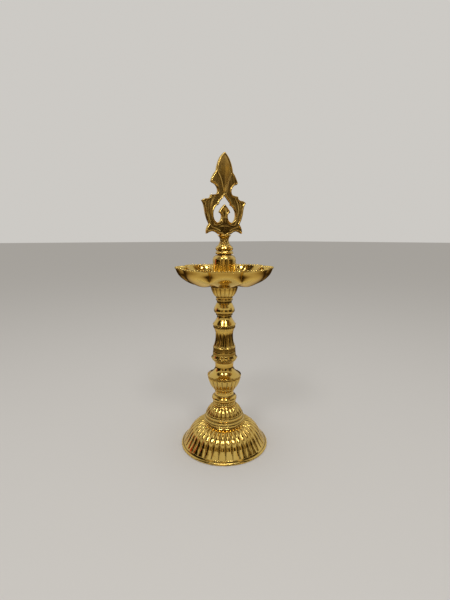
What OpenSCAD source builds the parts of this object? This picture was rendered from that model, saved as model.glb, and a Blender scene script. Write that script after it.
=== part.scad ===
// Brass standing oil lamp (samai), about 330 mm tall: a bell base, a turned stem
// of screwed-together sections, an eight-lobed oil pan and an openwork finial.
// Millimetres, +Z up, origin at the centre of the foot. X runs across the finial plate.

/* [Base] */
// Outer diameter of the rolled foot rim
base_d = 102; // [80:1:140]
// Height of the fluted bell up to its flat top
bell_h = 26.7; // [20:0.1:40]
// Height of the rolled foot rim
rim_h = 2.5; // [1.5:0.1:6]
// Wall thickness of the hollow castings
wall = 2.0; // [1.2:0.1:4]
// Number of gadroons round the bell
bell_flutes = 36; // [24:1:48]
// Height of the stepped collar on the bell
collar_h = 8.3; // [5:0.1:12]
// Outer diameter of the stepped collar
collar_d = 47; // [38:0.5:60]
// Height of the small fluted dome
dome_h = 13; // [8:0.5:20]
// Diameter of the small dome where it leaves the collar
dome_d = 44; // [34:0.5:56]
// Number of flutes round the small dome
dome_flutes = 22; // [16:1:36]

/* [Stem] */
// Height of the lower bulb section
knob_h = 16; // [10:0.5:24]
// Diameter of the lower bulb
knob_d = 29.2; // [22:0.2:36]
// Height of the lotus vase section
vase_h = 32; // [24:0.5:44]
// Diameter of the vase rim
vase_d = 39.2; // [30:0.2:48]
// Number of gadroons round the vase
vase_flutes = 20; // [12:1:30]
// Height of the fluted column section
column_h = 42; // [30:0.5:60]
// Diameter of the flange at the foot of the column
flange_d = 30.4; // [24:0.2:38]
// Diameter of the column at its waist
column_d = 21.2; // [16:0.2:28]
// Number of flutes round the column
column_flutes = 14; // [10:1:24]
// Height of the lower bell knob
bell_low_h = 17; // [12:0.5:24]
// Diameter of the lower bell knob flange
bell_low_d = 26.4; // [20:0.2:34]
// Height of the upper bell knob
bell_up_h = 19.5; // [14:0.5:26]
// Diameter of the upper bell knob
bell_up_d = 23.8; // [18:0.2:32]
// Height of the lotus cup under the pan
cup_h = 15; // [8:0.5:22]
// Diameter of the lotus cup rim
cup_d = 31; // [24:0.5:40]
// Number of petals round the lotus cup
cup_petals = 16; // [8:1:24]

/* [Pan] */
// Diameter across opposite lobes of the oil pan
pan_d = 110; // [80:1:150]
// Depth of the oil pan over its rim
pan_h = 20; // [14:0.5:32]
// Number of wick lobes
lobes = 8; // [5:1:10]
// Turn of the lobes about the lamp axis, degrees
pan_turn = 10; // [0:1:45]
// Wall thickness of the pan
pan_wall = 1.8; // [1.2:0.1:3]
// Diameter of the central hub
hub_d = 25.8; // [18:0.2:34]
// Height of the hub above the pan floor
hub_h = 30; // [20:0.5:44]

/* [Finial] */
// Thickness of the sealing washer under the finial
washer_h = 1.2; // [0.6:0.1:2.5]
// Height of the finial knob
fknob_h = 21.4; // [14:0.2:30]
// Diameter of the knob rings
fknob_d = 20; // [14:0.2:28]
// Width of the finial plate over its scroll tips
plate_w = 58.6; // [40:0.2:80]
// Height of the finial plate
plate_h = 85.4; // [60:0.2:110]
// Thickness of the finial plate
plate_t = 3.8; // [2:0.1:5]

/* [Threads] */
// Diameter of the three studs that unscrew
stud_d = 8; // [6:0.5:10]
// Diameter of the spigots between stem sections
spigot_d = 10; // [8:0.5:12]
// Thread pitch
pitch = 2; // [1.5:0.25:3]
// Running clearance on the radius of a stud in its bore
clear = 0.05; // [0.02:0.01:0.1]

/* [View] */
// Piece to draw, or all of them

/* [Hidden] */
z_bell = bell_h;
z_collar = z_bell + collar_h;
z_dome = z_collar + dome_h;
z_knob = z_dome + knob_h;
z_vase = z_knob + vase_h;
z_column = z_vase + column_h;
z_low = z_column + bell_low_h;
z_up = z_low + bell_up_h;
z_cup = z_up + cup_h;
z_floor = z_cup + pan_wall + 0.7;
z_rim = z_cup + pan_h;
z_hub = z_floor + hub_h;
z_washer = z_hub + washer_h;
z_fknob = z_washer + fknob_h;
base_r = base_d / 2;
stud_r = stud_d / 2;
spig_r = spigot_d / 2;
sock = 9;
brass = [0.83, 0.62, 0.22];
aged = [0.62, 0.44, 0.16];
black = [0.10, 0.09, 0.08];
$fa = 5;
$fs = 0.5;

// Circle through three profile points: [centre r, centre z, radius]
function circ(a, b, c) =
    let (d = 2 * (a.x * (b.y - c.y) + b.x * (c.y - a.y) + c.x * (a.y - b.y)),
         u = ((a * a) * (b.y - c.y) + (b * b) * (c.y - a.y) + (c * c) * (a.y - b.y)) / d,
         v = ((a * a) * (c.x - b.x) + (b * b) * (a.x - c.x) + (c * c) * (b.x - a.x)) / d)
    [u, v, norm(a - [u, v])];

// Angle of a point about such a circle, unwrapped to stay near a reference angle
function ang(k, p, ref) =
    let (t = atan2(p.y - k.y, p.x - k.x)) t - ref > 180 ? t - 360 : t - ref < -180 ? t + 360 : t;

// Points from a through b to c along one arc; grow > 0 swells the radius
function arc(a, b, c, n, grow = 0) =
    let (k = circ(a, b, c), tb = ang(k, b, 0), ta = ang(k, a, tb), tc = ang(k, c, tb))
    [for (i = [0:n]) let (t = ta + (tc - ta) * i / n)
        [k.x + (k.z + grow) * cos(t), k.y + (k.z + grow) * sin(t)]];

// One groove laid along the arc a-b-c, centred "off" outside it, radius w
module arc_groove(a, b, c, w, off = 0) {
    k = circ(a, b, c);
    tb = ang(k, b, 0);
    t0 = min(ang(k, a, tb), ang(k, c, tb));
    t1 = max(ang(k, a, tb), ang(k, c, tb));
    translate([k.x, 0, k.y]) rotate([90, 0, 0]) rotate([0, 0, t0])
        rotate_extrude(angle = t1 - t0) translate([k.z + off, 0]) circle(r = w);
}

// The same thing n times round the lamp axis
module around(n) { for (i = [0:n - 1]) rotate([0, 0, 360 / n * i]) children(); }

// Stud with shallow thread grooves, hanging down from z = 0
module stud(r, len, n) {
    rotate_extrude() polygon(concat(
        [[0, 0.6], [r - 0.5, 0.6], [r - 0.5, -2]],
        [for (i = [0:n - 1]) for (p = [[0, -2.2], [0, -2.9], [-0.5, -3.3], [-0.5, -3.6]])
            [r + p.x, p.y - i * pitch]],
        [[r - 0.5, -len + 0.4], [r - 0.9, -len], [0, -len]]));
}

// Plain glued spigot hanging down from z = 0
module spigot() {
    translate([0, 0, -sock + 1]) cylinder(r = spig_r - clear, h = sock - 0.4);
}
module socket(z) { translate([0, 0, z - sock]) cylinder(r = spig_r, h = sock + 1); }

bell_foot = [base_r - 3.1, rim_h + 1.7];
bell_a = [base_r - 8.2, bell_h - 14.7];
bell_b = [base_r - 12.8, bell_h - 7.5];
bell_c = [collar_d / 2 + 0.5, bell_h];

// Hollow gadrooned bell with rolled foot rim and tapped boss
module base_bell() color(brass) difference() {
    rotate_extrude() polygon(concat(
        [[base_r - 5, 0], [base_r - 0.6, 0], [base_r, 0.8], [base_r - 0.4, rim_h - 0.6],
         [base_r - 1.4, rim_h], [base_r - 2.1, rim_h - 0.1], [base_r - 2.4, rim_h + 0.5], bell_foot],
        arc(bell_a, bell_b, bell_c, 7),
        [[stud_r, bell_h], [stud_r, 8], [7, 8], [8, bell_h - wall - 4], [10, bell_h - wall - 0.6]],
        [for (i = [0:6]) arc(bell_a, bell_b, bell_c, 7, -wall)[7 - i] ],
        [bell_foot - [wall, 0.4]]));
    around(bell_flutes) arc_groove(bell_a, bell_b, bell_c - [1.2, -0.2], 1.0, 0.35);
}

// Stepped ring between the bell and the small dome
module base_collar() color(brass) translate([0, 0, z_bell]) rotate_extrude() polygon([
    [12, 0], [collar_d / 2 - 0.2, 0], [collar_d / 2 - 0.7, 0.5], [collar_d / 2 - 0.7, 1.1],
    [collar_d / 2 + 0.1, 1.6], [collar_d / 2 + 0.1, 3.4], [collar_d / 2 - 0.6, 3.9],
    [collar_d / 2 - 0.6, 4.3], [collar_d / 2, 4.8], [collar_d / 2 - 0.1, 6.4],
    [collar_d / 2 - 1.2, 7], [collar_d / 2 - 1.3, 7.8], [collar_d / 2 - 0.9, collar_h],
    [12, collar_h]]);

dome_a = [dome_d / 2 - 0.4, 2.3];
dome_b = [dome_d / 2 - 2.8, dome_h / 2 + 0.7];
dome_c = [14.6, dome_h - 0.8];

// Small hollow fluted dome with a plain hole for the stud
module base_dome() color(brass) translate([0, 0, z_collar]) difference() {
    rotate_extrude() polygon(concat(
        [[dome_d / 2 - wall - 1, 0], [dome_d / 2, 0], [dome_d / 2 - 0.1, 2]],
        arc(dome_a, dome_b, dome_c, 5),
        [[13.9, dome_h], [stud_r + clear, dome_h], [stud_r + clear, -collar_h],
         [7.5, -collar_h], [7.5, dome_h - 4], [dome_c.x - 2.4, dome_h - 3.2]]));
    around(dome_flutes) arc_groove(dome_a, dome_b, dome_c, 0.9, 0.3);
}

// Bulb section with a beaded collar; its long stud screws into the bell
module lower_knob() color(brass) translate([0, 0, z_dome]) {
    difference() {
        rotate_extrude() polygon(concat(
            [[0, 0], [12.4, 0], [12.9, 0.6], [12.8, 1.7], [12.2, 2.2], [13.3, 2.7],
             [13.4, 4.5], [12.9, 5.1]],
            arc([13.3, 5.5], [knob_d / 2 - 0.1, 7.8], [11.3, 11.4], 6),
            [[10.6, 12.3], [10.9, 13], [10.9, knob_h - 1], [10.4, knob_h], [0, knob_h]]));
        socket(knob_h);
        around(32) translate([13.6, 0, 2.4]) cylinder(r = 0.5, h = 2.4);
    }
    stud(stud_r - clear, 33, 9);
}

vase_r = vase_d / 2;
vase_a = [11.1, 1.4];
vase_b = [vase_r - 3.3, 8.8];
vase_c = [vase_r - 0.4, 17];

// Gadrooned lotus bowl under a broad rim and a waisted neck
module lotus_vase() color(brass) translate([0, 0, z_knob]) difference() {
    union() {
        rotate_extrude() polygon(concat(
            [[0, 0], [10.5, 0], [10.7, 1]],
            arc(vase_a, vase_b, vase_c, 6),
            [[vase_r - 0.6, 19.2], [vase_r, 19.9], [vase_r, 20.7]],
            arc([vase_r - 1.6, 21.2], [13.75, 24], [11.1, 28], 6),
            [[10.5, 29.6], [10.4, vase_h], [0, vase_h]]));
        spigot();
    }
    socket(vase_h);
    around(vase_flutes) arc_groove(vase_a, vase_b, vase_c, 0.9, 0.2);
}

col_r = column_d / 2;
flg_r = flange_d / 2;
col_a = [flg_r - 2.5, column_h - 20];
col_b = [col_r - 0.3, column_h - 11];
col_c = [col_r, column_h - 1];

// Waisted fluted column on a ringed skirt with a sharp beaded flange
module fluted_column() color(brass) translate([0, 0, z_vase]) difference() {
    union() {
        rotate_extrude() polygon(concat(
            [[0, 0], [10.5, 0], [10.7, 2], [11, 4], [flg_r - 2.5, 5.4], [flg_r - 1.5, 7],
             [flg_r - 0.9, 8], [flg_r, 9.1], [flg_r - 1, 10], [flg_r - 1.7, 12],
             [flg_r - 2, 13], [flg_r - 2, 16], [flg_r - 2.4, 17.4], [flg_r - 2.5, 21.6]],
            arc(col_a, col_b, col_c, 8),
            [[col_r + 0.3, column_h], [0, column_h]]));
        spigot();
    }
    socket(column_h);
    around(column_flutes) arc_groove(col_a, col_b, col_c, 0.8, -0.3);
}

low_r = bell_low_d / 2;

// Lower bell knob with a sharp beaded flange
module bell_knob_lower() color(brass) translate([0, 0, z_column]) difference() {
    union() {
        rotate_extrude() polygon(concat(
            [[0, 0], [10.9, 0], [11.5, 1], [low_r - 1, 2.2], [low_r - 0.7, 5], [low_r, 6.2]],
            arc([low_r - 0.4, 7], [10.9, 9.6], [9, 12.8], 5),
            [[8.3, 14.6], [8.2, bell_low_h], [0, bell_low_h]]));
        spigot();
    }
    socket(bell_low_h);
    around(30) translate([low_r - 0.5, 0, 2.5]) cylinder(r = 0.45, h = 2.2);
}

up_r = bell_up_d / 2;

// Upper bell knob, rounded, with a ring above its neck
module bell_knob_upper() color(brass) translate([0, 0, z_low]) difference() {
    union() {
        rotate_extrude() polygon(concat(
            [[0, 0], [8.9, 0], [9.4, 0.5], [9.3, 1.9], [11.2, 3.4]],
            arc([up_r - 0.1, 5], [up_r - 0.9, 9], [8.6, 13.8], 6),
            [[8.3, 15], [8.4, 16.4], [9.3, 17.2], [9.5, 18.2], [9, bell_up_h],
             [0, bell_up_h]]));
        spigot();
    }
    socket(bell_up_h);
}

cup_r = cup_d / 2;
cup_a = [9.9, 1.4];
cup_b = [cup_r - 2.4, 6];
cup_c = [cup_r - 0.6, 10.8];

// Lotus cup carrying the pan; its stud passes through the pan into the hub
module lotus_cup() color(brass) translate([0, 0, z_up]) {
    difference() {
        union() {
            rotate_extrude() polygon(concat([[0, 0], [9, 0], [9.2, 0.7]], arc(cup_a, cup_b, cup_c, 6),
                [[cup_r - 0.1, cup_h - 2.6], [cup_r, cup_h - 0.4], [cup_r - 0.4, cup_h], [0, cup_h]]));
            spigot();
        }
        around(cup_petals) arc_groove(cup_a, cup_b, cup_c + [0, 0.7], 0.8, 0.2);
    }
    translate([0, 0, cup_h]) mirror([0, 0, 1]) stud(stud_r - clear, 14, 4);
}

lobe_r = pan_d / 2 * 0.336;
lobe_c = pan_d / 2 - lobe_r;

// Upright prism with the lobed plan of the pan, t inside its outer edge
module lobed(t, z0, z1) {
    translate([0, 0, z0]) cylinder(r = lobe_c + 4, h = z1 - z0);
    around(lobes) translate([lobe_c, 0, z0]) cylinder(r = lobe_r - t, h = z1 - z0);
}

// Turned bowl, t inside its outer face and carried up past the rim by up
module bowl(t, up = 0) {
    r = pan_d / 2 - t;
    f = t > 0 ? t + 0.7 : 0;
    k = pan_h / 19;
    rotate_extrude() polygon([[0, f], [r - 33, f], [r - 20, f + 0.3], [r - 15.6, 2.6 * k + t],
        [r - 10.6, 5.6 * k + t * 0.8], [r - 6.3, 8.6 * k + t * 0.5], [r - 3.3, 11.6 * k + t * 0.3],
        [r - 1.2, 16 * k], [r, pan_h - 0.8], [r, pan_h + up], [0, pan_h + up]]);
}

// Eight-lobed oil pan with a plain hole for the cup stud
module pan() color(brass) translate([0, 0, z_cup]) rotate([0, 0, pan_turn]) difference() {
    intersection() { bowl(0, 0); lobed(0, -1, pan_h + 1); }
    intersection() { bowl(pan_wall, 3); lobed(pan_wall, 1, pan_h + 2); }
    translate([0, 0, -1]) cylinder(r = stud_r + clear, h = 8);
}

// Hub that screws down over the cup stud and clamps the pan
module hub() color(brass) translate([0, 0, z_floor]) difference() {
    rotate_extrude() polygon(concat([[0, 0], [hub_d / 2, 0]],
        arc([hub_d / 2, hub_h - 5], [hub_d / 2 - 1, hub_h - 2], [hub_d / 2 - 3, hub_h - 0.4], 4),
        [[hub_d / 2 - 3.3, hub_h], [0, hub_h]]));
    translate([0, 0, -1]) cylinder(r = stud_r, h = 15.5);
    translate([0, 0, hub_h - 12.5]) cylinder(r = stud_r - 0.5, h = 14);
}

// Black sealing washer between hub and finial
module finial_washer() color(black) translate([0, 0, z_hub]) rotate_extrude()
    polygon([[stud_r - 0.5 + clear, 0], [7, 0], [7.1, washer_h / 2], [7, washer_h],
        [stud_r - 0.5 + clear, washer_h]]);

fk_r = fknob_d / 2;

// Double-ringed knob with a waisted neck that carries the plate
module finial_knob() color(brass) translate([0, 0, z_washer]) {
    difference() {
        rotate_extrude() polygon(concat(
            [[0, 0], [8.9, 0], [9.6, 0.6], [fk_r - 0.1, 1.7], [9.2, 2.9], [8.7, 3.4], [8.7, 4],
             [9.6, 4.6], [fk_r, 5.4], [fk_r, 6.6], [9.2, 7.4]],
            arc([8.2, 8], [5.6, 10.8], [4.8, 13.4], 4),
            [[4.8, 15.6], [5.4, 17.4], [6.5, 19.2], [7, 20.2], [6.9, fknob_h], [0, fknob_h]]));
        translate([-4, -1.25, fknob_h - 6]) cube([8, 2.5, 7]);
        around(28) translate([fk_r + 0.15, 0, 5]) cylinder(r = 0.5, h = 2);
    }
    stud(stud_r - 0.5 - clear, 12.4, 3);
}

w = plate_w / 2;
h = plate_h;

// Right half of the plate outline, tip first
function half_outline() = [
    [0, h], [0.10 * w, h - 2.4], [0.20 * w, h - 6], [0.29 * w, h - 12], [0.355 * w, h - 19.6],
    [0.48 * w, h - 23.5], [0.57 * w, h - 27.8], [0.60 * w, h - 30.8], [0.54 * w, h - 32.6],
    [0.41 * w, h - 34], [0.32 * w, h - 37.4], [0.30 * w, h - 40.6], [0.41 * w, h - 43.6],
    [0.615 * w, h - 44.4], [0.642 * w, h - 47], [0.77 * w, h - 48.8], [0.88 * w, h - 49.2],
    [w, h - 50.8], [0.935 * w, h - 53.6], [0.885 * w, h - 58.4], [0.845 * w, h - 64.4],
    [0.77 * w, h - 70.4], [0.69 * w, h - 74.4], [0.765 * w, h - 77.4], [0.81 * w, h - 81.2],
    [0.81 * w, 0.8], [0.70 * w, 2.2], [0.535 * w, 3.2], [0.385 * w, 2.2], [0.28 * w, 0]];

// Right half of the arched opening down to the bud that stands in it
function half_opening() = [
    [0, h - 44.2], [0.15 * w, h - 48.6], [0.25 * w, h - 51.6], [0.27 * w, h - 54],
    [0.40 * w, h - 56.2], [0.50 * w, h - 60.4], [0.52 * w, h - 66], [0.455 * w, h - 70.8],
    [0.33 * w, h - 73], [0.21 * w, h - 71.8], [0.135 * w, h - 68.2], [0.125 * w, h - 65.6],
    [0.16 * w, h - 63.8], [0.245 * w, h - 62.4], [0.15 * w, h - 58.4], [0, h - 53.8]];

function flip(p) = [for (i = [len(p) - 1:-1:0]) [-p[i].x, p[i].y]];

// Shallow pockets that leave the raised rims standing
module pockets() {
    polygon([[0, h - 4.5], [0.21 * w, h - 13], [0.27 * w, h - 21], [0.2 * w, h - 30],
        [0.1 * w, h - 40], [-0.1 * w, h - 40], [-0.2 * w, h - 30], [-0.27 * w, h - 21],
        [-0.21 * w, h - 13]]);
    for (s = [-1, 1]) {
        polygon([[s * 0.34 * w, h - 23], [s * 0.43 * w, h - 25], [s * 0.52 * w, h - 29.8],
            [s * 0.36 * w, h - 32], [s * 0.28 * w, h - 34]]);
        polygon([[s * 0.62 * w, h - 52], [s * 0.88 * w, h - 52.6], [s * 0.82 * w, h - 60],
            [s * 0.72 * w, h - 68], [s * 0.60 * w, h - 70], [s * 0.61 * w, h - 62]]);
    }
    polygon([[-0.46 * w, h - 76], [0, h - 73.4], [0.46 * w, h - 76], [0.4 * w, h - 80],
        [-0.4 * w, h - 80]]);
}

// Openwork leaf-shaped plate with a bud in its arch; its tang sits in the knob slot
module finial_plate() color(aged) translate([0, 0, z_fknob]) rotate([90, 0, 0]) {
    difference() {
        translate([0, 0, -plate_t / 2]) linear_extrude(plate_t) difference() {
            polygon(concat(half_outline(), flip(half_outline())));
            polygon(concat(half_opening(), flip(half_opening())));
        }
        translate([0, 0, plate_t / 2 - 0.6]) linear_extrude(1) pockets();
        translate([0, 0, -plate_t / 2 - 0.4]) linear_extrude(1) pockets();
    }
    translate([-3.9, -5.9, -1.2]) cube([7.8, 7, 2.4]);
}

base_bell();
base_collar();
base_dome();
lower_knob();
lotus_vase();
fluted_column();
bell_knob_lower();
bell_knob_upper();
lotus_cup();
pan();
hub();
finial_washer();
finial_knob();
finial_plate();
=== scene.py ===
"""Brass standing oil lamp (samai): the looks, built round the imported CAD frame.

Every visible piece is a turned surface with relief (gadroons, flutes, beads, threads), a lobed pan or a
cast plate, at the place and size of the CAD node that it stands for. Profiles are in millimetres, as
(radius, height above the piece's seat, corner rounding).
"""

import math

import bmesh
import bpy
import numpy as np
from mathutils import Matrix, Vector
from mathutils.geometry import delaunay_2d_cdt


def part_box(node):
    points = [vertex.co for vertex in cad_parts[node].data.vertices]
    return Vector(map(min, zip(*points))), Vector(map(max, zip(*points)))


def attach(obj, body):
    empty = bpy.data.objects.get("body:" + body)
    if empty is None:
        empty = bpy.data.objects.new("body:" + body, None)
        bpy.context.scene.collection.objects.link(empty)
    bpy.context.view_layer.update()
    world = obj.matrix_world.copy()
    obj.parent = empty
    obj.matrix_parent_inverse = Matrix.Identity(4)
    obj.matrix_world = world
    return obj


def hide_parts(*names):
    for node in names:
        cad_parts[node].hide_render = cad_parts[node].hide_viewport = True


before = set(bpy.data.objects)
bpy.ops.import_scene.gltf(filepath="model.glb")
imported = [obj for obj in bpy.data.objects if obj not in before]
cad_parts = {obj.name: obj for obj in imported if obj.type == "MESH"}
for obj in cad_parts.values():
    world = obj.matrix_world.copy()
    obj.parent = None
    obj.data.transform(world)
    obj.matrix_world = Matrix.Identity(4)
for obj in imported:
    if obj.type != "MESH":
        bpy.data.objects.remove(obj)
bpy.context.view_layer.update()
MM = 0.001
TAU = 2 * math.pi

# The seats are the heights at which one piece stands on the next, read from the frame.
TOP = {name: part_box(name)[1].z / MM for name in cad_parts}
LOW = {name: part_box(name)[0].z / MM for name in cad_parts}
CUP_TOP = LOW["pan"]
PLATE_SEAT = TOP["finial_knob"]
# The middle line of one of the pan's scoops points this far from the x axis.
PAN_TURN = math.radians(10)
# The screws: the studs' crest radii, the plain bore round the larger one, the pitch and the threads' depths.
STUD_R, SMALL_STUD_R, BORE_R = 3.95, 3.45, 4.05
PITCH, THREAD_DEPTH, SMALL_THREAD_DEPTH = 2.0, 0.55, 0.5


# ---------------------------------------------------------------- profiles


def arc(a, b, c, steps=28):
    """Profile points from a through b to c on one circle."""
    (ax, ay), (bx, by), (cx, cy) = a, b, c
    d = 2 * (ax * (by - cy) + bx * (cy - ay) + cx * (ay - by))
    a2, b2, c2 = ax * ax + ay * ay, bx * bx + by * by, cx * cx + cy * cy
    ux = (a2 * (by - cy) + b2 * (cy - ay) + c2 * (ay - by)) / d
    uy = (a2 * (cx - bx) + b2 * (ax - cx) + c2 * (bx - ax)) / d
    r = math.hypot(ax - ux, ay - uy)
    t = [math.atan2(y - uy, x - ux) for x, y in (a, b, c)]
    for i in (1, 2):
        t[i] -= TAU * round((t[i] - t[i - 1]) / TAU)
    angles = [t[0] + (t[2] - t[0]) * k / steps for k in range(steps + 1)]
    return [(ux + r * math.cos(q), uy + r * math.sin(q), 0) for q in angles]


def spline(points, per):
    """Catmull-Rom curve through (r, z) points, with per samples to each span."""
    p = np.array(points, float)
    p = np.vstack([2 * p[0] - p[1], p, 2 * p[-1] - p[-2]])
    out = []
    for i in range(1, len(p) - 2):
        for k in range(per):
            t = k / per
            a, b, c, d = p[i - 1 : i + 3]
            out.append(
                0.5
                * (2 * b + (c - a) * t + (2 * a - 5 * b + 4 * c - d) * t**2 + (3 * b - a - 3 * c + d) * t**3)
            )
    out.append(p[-2])
    return np.array(out)


# A corner that turns less than STRAIGHT radians stays as it is. A fillet takes at most SIDE_SHARE of each
# side beside it, in steps of about FILLET_STEP degrees.
STRAIGHT, SIDE_SHARE, FILLET_STEP = 0.02, 0.48, 11


def corner_row(corners, i):
    """The points that stand for corner i once it is rounded."""
    here, fillet = np.array(corners[i][:2], float), corners[i][2]
    if fillet <= 0:
        return [here]
    back = np.array(corners[i - 1][:2], float) - here
    ahead = np.array(corners[(i + 1) % len(corners)][:2], float) - here
    lb, la = np.linalg.norm(back), np.linalg.norm(ahead)
    turn = math.acos(max(-1.0, min(1.0, float(-(back / lb) @ (ahead / la)))))
    if turn < STRAIGHT:
        return [here]
    d = min(fillet * math.tan(turn / 2), SIDE_SHARE * lb, SIDE_SHARE * la)
    start, end = here + back / lb * d, here + ahead / la * d
    count = max(2, int(math.degrees(turn) / FILLET_STEP))
    ts = [k / count for k in range(count + 1)]
    return [(1 - t) ** 2 * start + 2 * t * (1 - t) * here + t * t * end for t in ts]


def path_of(corners, step, closed):
    """Corners (r, z, fillet) as closely spaced points, with the index of each corner's own point."""
    raw, marks = [], []
    for i in range(len(corners)):
        row = corner_row(corners, i)
        marks.append(len(raw) + len(row) // 2)
        raw += row
    dense, place = [raw[0]], [0]
    for q in raw[1:] + ([raw[0]] if closed else []):
        gap = np.linalg.norm(q - dense[-1])
        n = int(gap / step) + 1
        last = dense[-1]
        dense += [last + (q - last) * k / n for k in range(1, n + 1)]
        place.append(len(dense) - 1)
    if closed:
        dense.pop()
    return np.array(dense), [place[m] for m in marks]


# ---------------------------------------------------------------- reliefs
# A relief takes the angles round the axis, the way along its stretch in mm, the stretch's length, the
# radius and the height there, and gives how far the surface moves along its outward normal, in mm.


def fade(x, low, high):
    """0 at low, 1 at high, smoothly."""
    t = np.clip((x - low) / (high - low), 0, 1)
    return t * t * (3 - 2 * t)


def phase(theta, count, offset=0.0):
    """-1 to 1 across each of count repeats, 0 on its crest."""
    x = theta * count / TAU + offset
    return 2 * (x - np.floor(x + 0.5))


# A gadroon's section is LOBE_ARCH of a half circle's width; its rounded ends follow a superellipse of
# power LOBE_POWER.
LOBE_ARCH, LOBE_POWER = 0.94, 2.6


def gadroons(count, depth, low_end=0.0, high_end=0.0, offset=0.0):
    """Convex lobes with narrow valleys; an end greater than 0 is rounded off over that many half widths."""

    def relief(theta, along, length, radius, height):
        half = math.pi * radius / count
        ends = np.zeros_like(along)
        if low_end:
            ends = np.maximum(ends, 1 - along / (half * low_end))
        if high_end:
            ends = np.maximum(ends, 1 - (length - along) / (half * high_end))
        f = np.abs(phase(theta, count, offset))
        q = np.minimum(1, (f**LOBE_POWER + np.clip(ends, 0, 1) ** LOBE_POWER) ** (1 / LOBE_POWER))
        crest = np.sqrt(1 - (LOBE_ARCH * q) ** 2)
        flat = math.sqrt(1 - LOBE_ARCH**2)
        return -depth * (1 - (crest - flat) / (1 - flat))

    return relief


def fading_gadroons(count, depth, line, run):
    """Gadroons with a line mm deep between them, which flatten over run mm towards the low end."""
    arch, line_from, line_run, low_share = 0.95, 0.86, 0.8, 0.30

    def relief(theta, along, length, radius, height):
        f = np.abs(phase(theta, count))
        round_part = 1 - np.sqrt(np.maximum(0, 1 - (arch * f) ** 2))
        sharp_part = np.clip((f - line_from) / (1 - line_from), 0, 1) ** 1.5
        swell = low_share + (1 - low_share) * fade(along, 0, run)
        return -depth * round_part * swell - line * sharp_part * fade(along, 0, line_run)

    return relief


def flutes(count, depth, ends, twist=0.0):
    """Soft concave channels that fade out at both ends; twist is in repeats over the whole stretch."""

    def relief(theta, along, length, radius, height):
        wave = 0.5 - 0.5 * np.cos(math.pi * phase(theta, count, twist * along / length))
        window = np.clip(along / ends, 0, 1) * np.clip((length - along) / ends, 0, 1)
        return -depth * wave**0.8 * np.sqrt(window)

    return relief


def beads(count, depth):
    """A row of round beads that fills its stretch."""

    def relief(theta, along, length, radius, height):
        f = phase(theta, count)
        side = np.sin(math.pi * np.clip(along / length, 0, 1))
        return -depth * (0.5 - 0.5 * np.cos(math.pi * f)) * side**0.5

    return relief


def thread(pitch, depth):
    """A right-hand screw thread with flattened crests that runs out at both ends."""
    steepness, crest = 2.6, 0.15

    def relief(theta, along, length, radius, height):
        x = height / pitch - theta / TAU
        tooth = np.clip(steepness * np.abs(x - np.floor(x + 0.5)) - crest, 0, 1)
        window = np.clip(along / pitch, 0, 1) * np.clip((length - along) / pitch, 0, 1)
        return -depth * tooth * window

    return relief


def turned_rings(pitch, depth):
    """Fine rounded rings left by the lathe tool."""

    def relief(theta, along, length, radius, height):
        return depth * (np.abs(np.sin(math.pi * along / pitch)) - 1)

    return relief


def leaves(count, spacing, depth):
    """Engraved leaf veins: V grooves stacked along the stretch, one column of them to each repeat."""
    slant, narrowness = 0.8, 3.2

    def relief(theta, along, length, radius, height):
        x = along / spacing - slant * np.abs(phase(theta, count))
        groove = np.clip(1 - narrowness * np.abs(x - np.floor(x + 0.5)), 0, 1)
        side = np.sin(math.pi * np.clip(along / length, 0, 1)) ** 0.5
        return -depth * groove * side

    return relief


def hammered(depth, *waves):
    """Shallow uneven facets: waves are (repeats round the axis, repeats per mm of height, shift)."""

    def relief(theta, along, length, radius, height):
        total = sum(np.sin(n * theta + k * height + s) for n, k, s in waves)
        side = np.sin(math.pi * np.clip(along / length, 0, 1))
        return depth * total / len(waves) * side

    return relief


# ---------------------------------------------------------------- meshes


def hollows(points, normals, spacing=0.8):
    """How concave (+) or convex (-) a ring grid of points is at about that spacing, in mm."""
    rows, cols, _ = points.shape
    radius = np.hypot(points[..., 0], points[..., 1]).mean(1)
    around = np.zeros_like(points)
    for i in range(rows):
        k = max(1, int(spacing / (TAU * max(radius[i], 0.5) / cols)))
        k = min(k, cols // 8)
        around[i] = np.roll(points[i], k, 0) + np.roll(points[i], -k, 0)
    along = np.zeros_like(points)
    step = np.linalg.norm(np.diff(points, axis=0), axis=2).mean(1)
    reach = np.concatenate([[0], np.cumsum(step)])
    for i in range(rows):
        a = max(0, int(np.searchsorted(reach, reach[i] - spacing)))
        b = min(rows - 1, int(np.searchsorted(reach, reach[i] + spacing)))
        along[i] = points[a] + points[b]
    mean = (around + along) / 4
    return ((mean - points) * normals).sum(2) / spacing


def ring_mesh(points, closed):
    """Vertices and faces of a grid of rings; a ring of no radius at an open end is one vertex."""
    rows, cols, _ = points.shape
    flat = points.reshape(-1, 3)
    index = np.arange(rows * cols).reshape(rows, cols)
    radius = np.hypot(points[..., 0], points[..., 1]).max(1)
    for end in (0, rows - 1):
        if not closed and radius[end] < 1e-6:
            index[end] = index[end][0]
    nxt = np.roll(index, -1, 1)
    faces = []
    count = rows if closed else rows - 1
    for i in range(count):
        j = (i + 1) % rows
        quad = np.stack([index[i], nxt[i], nxt[j], index[j]], 1)
        if index[i][0] == index[i][-1]:
            quad = quad[:, [0, 2, 3]]
        elif index[j][0] == index[j][-1]:
            quad = quad[:, [0, 1, 2]]
        faces += quad.tolist()
    used = np.unique(index)
    remap = np.full(rows * cols, -1)
    remap[used] = np.arange(len(used))
    faces = [[int(remap[v]) for v in f] for f in faces]
    return flat[used], faces, used


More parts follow.
